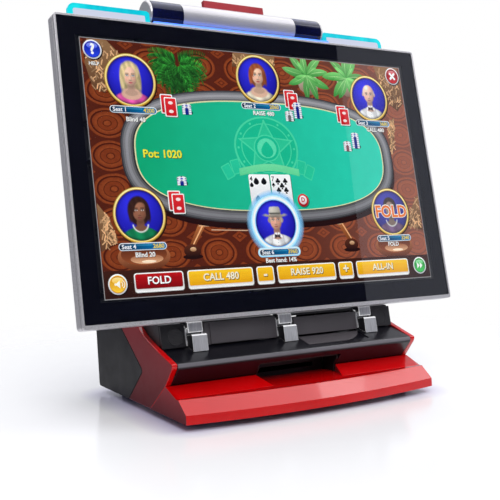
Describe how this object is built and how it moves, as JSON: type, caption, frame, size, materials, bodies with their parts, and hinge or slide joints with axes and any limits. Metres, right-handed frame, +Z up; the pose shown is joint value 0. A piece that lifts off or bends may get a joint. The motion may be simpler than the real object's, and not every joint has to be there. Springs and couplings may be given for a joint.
{
  "type": "counter-top video poker machine",
  "caption": "Counter-top touchscreen card game terminal: a tilting wide display with a light bar on top, on a wedge-shaped base with a note recess.",
  "frame": {"origin": "centre of the bounding box footprint, on the surface that the feet stand on", "axes": "+X to the player's right along the wide display, +Y from the player to the back, +Z up"},
  "size_m": [0.53, 0.2546, 0.4955],
  "materials": {
    "silver_paint": "satin",
    "brushed_metal": "brushed",
    "touch_glass": "polished",
    "black_mask": "gloss",
    "lcd": "semi-gloss",
    "black_plastic": "satin",
    "gloss_black": "gloss",
    "grey_plastic": "satin",
    "red_lacquer": "gloss",
    "red_fin": "gloss",
    "edge_lit_acrylic": "polished",
    "led_diffuser": "frosted",
    "smoked_window": "polished",
    "rubber": "matte",
    "circuit_board": "satin",
    "plated_steel": "satin",
    "aluminium_case": "satin"
  },
  "bodies": {
    "base": {"base_plate": "plated_steel", "card_apron": "grey_plastic", "fan_housing": "black_plastic", "foot_front_left": "rubber", "foot_front_right": "rubber", "foot_rear_left": "rubber", "foot_rear_right": "rubber", "front_tray": "red_lacquer", "hinge_shaft": "plated_steel", "hinge_strap_lower_1": "brushed_metal", "hinge_strap_lower_2": "brushed_metal", "hinge_strap_lower_3": "brushed_metal", "main_board": "circuit_board", "note_chute": "gloss_black", "note_stacker": "black_plastic", "note_validator": "gloss_black", "power_inlet": "gloss_black", "power_supply": "aluminium_case", "reader_cover": "grey_plastic", "rear_panel": "black_plastic", "shelf": "gloss_black", "side_panel_left": "black_plastic", "side_panel_right": "black_plastic", "side_trim_left": "red_lacquer", "side_trim_right": "red_lacquer", "speaker_driver_left": "black_plastic", "speaker_driver_right": "black_plastic", "speaker_grille_left": "black_plastic", "speaker_grille_right": "black_plastic", "speaker_panel_left": "black_plastic", "speaker_panel_right": "black_plastic", "upper_housing": "black_plastic"},
    "head": {"acrylic_wing_left": "edge_lit_acrylic", "acrylic_wing_right": "edge_lit_acrylic", "bezel_mask": "black_mask", "camera_module_left": "gloss_black", "camera_module_right": "gloss_black", "display_bezel_rear": "silver_paint", "display_board": "circuit_board", "display_frame": "silver_paint", "display_rear_cover": "black_plastic", "frame_gasket": "rubber", "hinge_strap_upper_1": "brushed_metal", "hinge_strap_upper_2": "brushed_metal", "hinge_strap_upper_3": "brushed_metal", "lcd_panel": "lcd", "led_channel": "black_plastic", "light_bar_cap_left": "silver_paint", "light_bar_cap_right": "silver_paint", "light_bar_tube": "silver_paint", "light_bar_window_left": "smoked_window", "light_bar_window_right": "smoked_window", "light_pipe": "led_diffuser", "top_fin": "red_fin", "touch_glass": "touch_glass"},
    "service_door": {"service_door": "grey_plastic"},
    "cash_door": {"cash_door": "black_plastic"},
    "cash_lock": {"cash_door_lock": "plated_steel"},
    "power_switch": {"power_switch_rocker": "gloss_black"},
    "fan": {"fan_rotor": "black_plastic"}
  },
  "joints": [
    {"name": "display_tilt", "type": "hinge", "parent": "base", "child": "head", "pos_m": [0, -0.03183, 0.09316], "axis": [1, 0, 0], "range_deg": [-12, 8]},
    {"name": "service_door_hinge", "type": "hinge", "parent": "base", "child": "service_door", "pos_m": [0.0134, -0.04176, 0.08676], "axis": [0, -0.2284, -0.9736], "range_deg": [0, 100]},
    {"name": "cash_door_hinge", "type": "hinge", "parent": "base", "child": "cash_door", "pos_m": [-0.0515, 0.12164, 0.05998], "axis": [0, 0.1396, 0.9902], "range_deg": [0, 105]},
    {"name": "cash_lock_turn", "type": "hinge", "parent": "cash_door", "child": "cash_lock", "pos_m": [0.04, 0.12164, 0.05998], "axis": [0, 0.9902, -0.1396], "range_deg": [0, 90]},
    {"name": "power_switch_rock", "type": "hinge", "parent": "base", "child": "power_switch", "pos_m": [0.094, 0.11602, 0.04159], "axis": [1, 0, 0], "range_deg": [-14, 0]},
    {"name": "fan_spin", "type": "hinge", "parent": "base", "child": "fan", "pos_m": [-0.095, 0.11234, 0.06432], "axis": [0, 0.9902, -0.1396], "continuous": true}
  ]
}
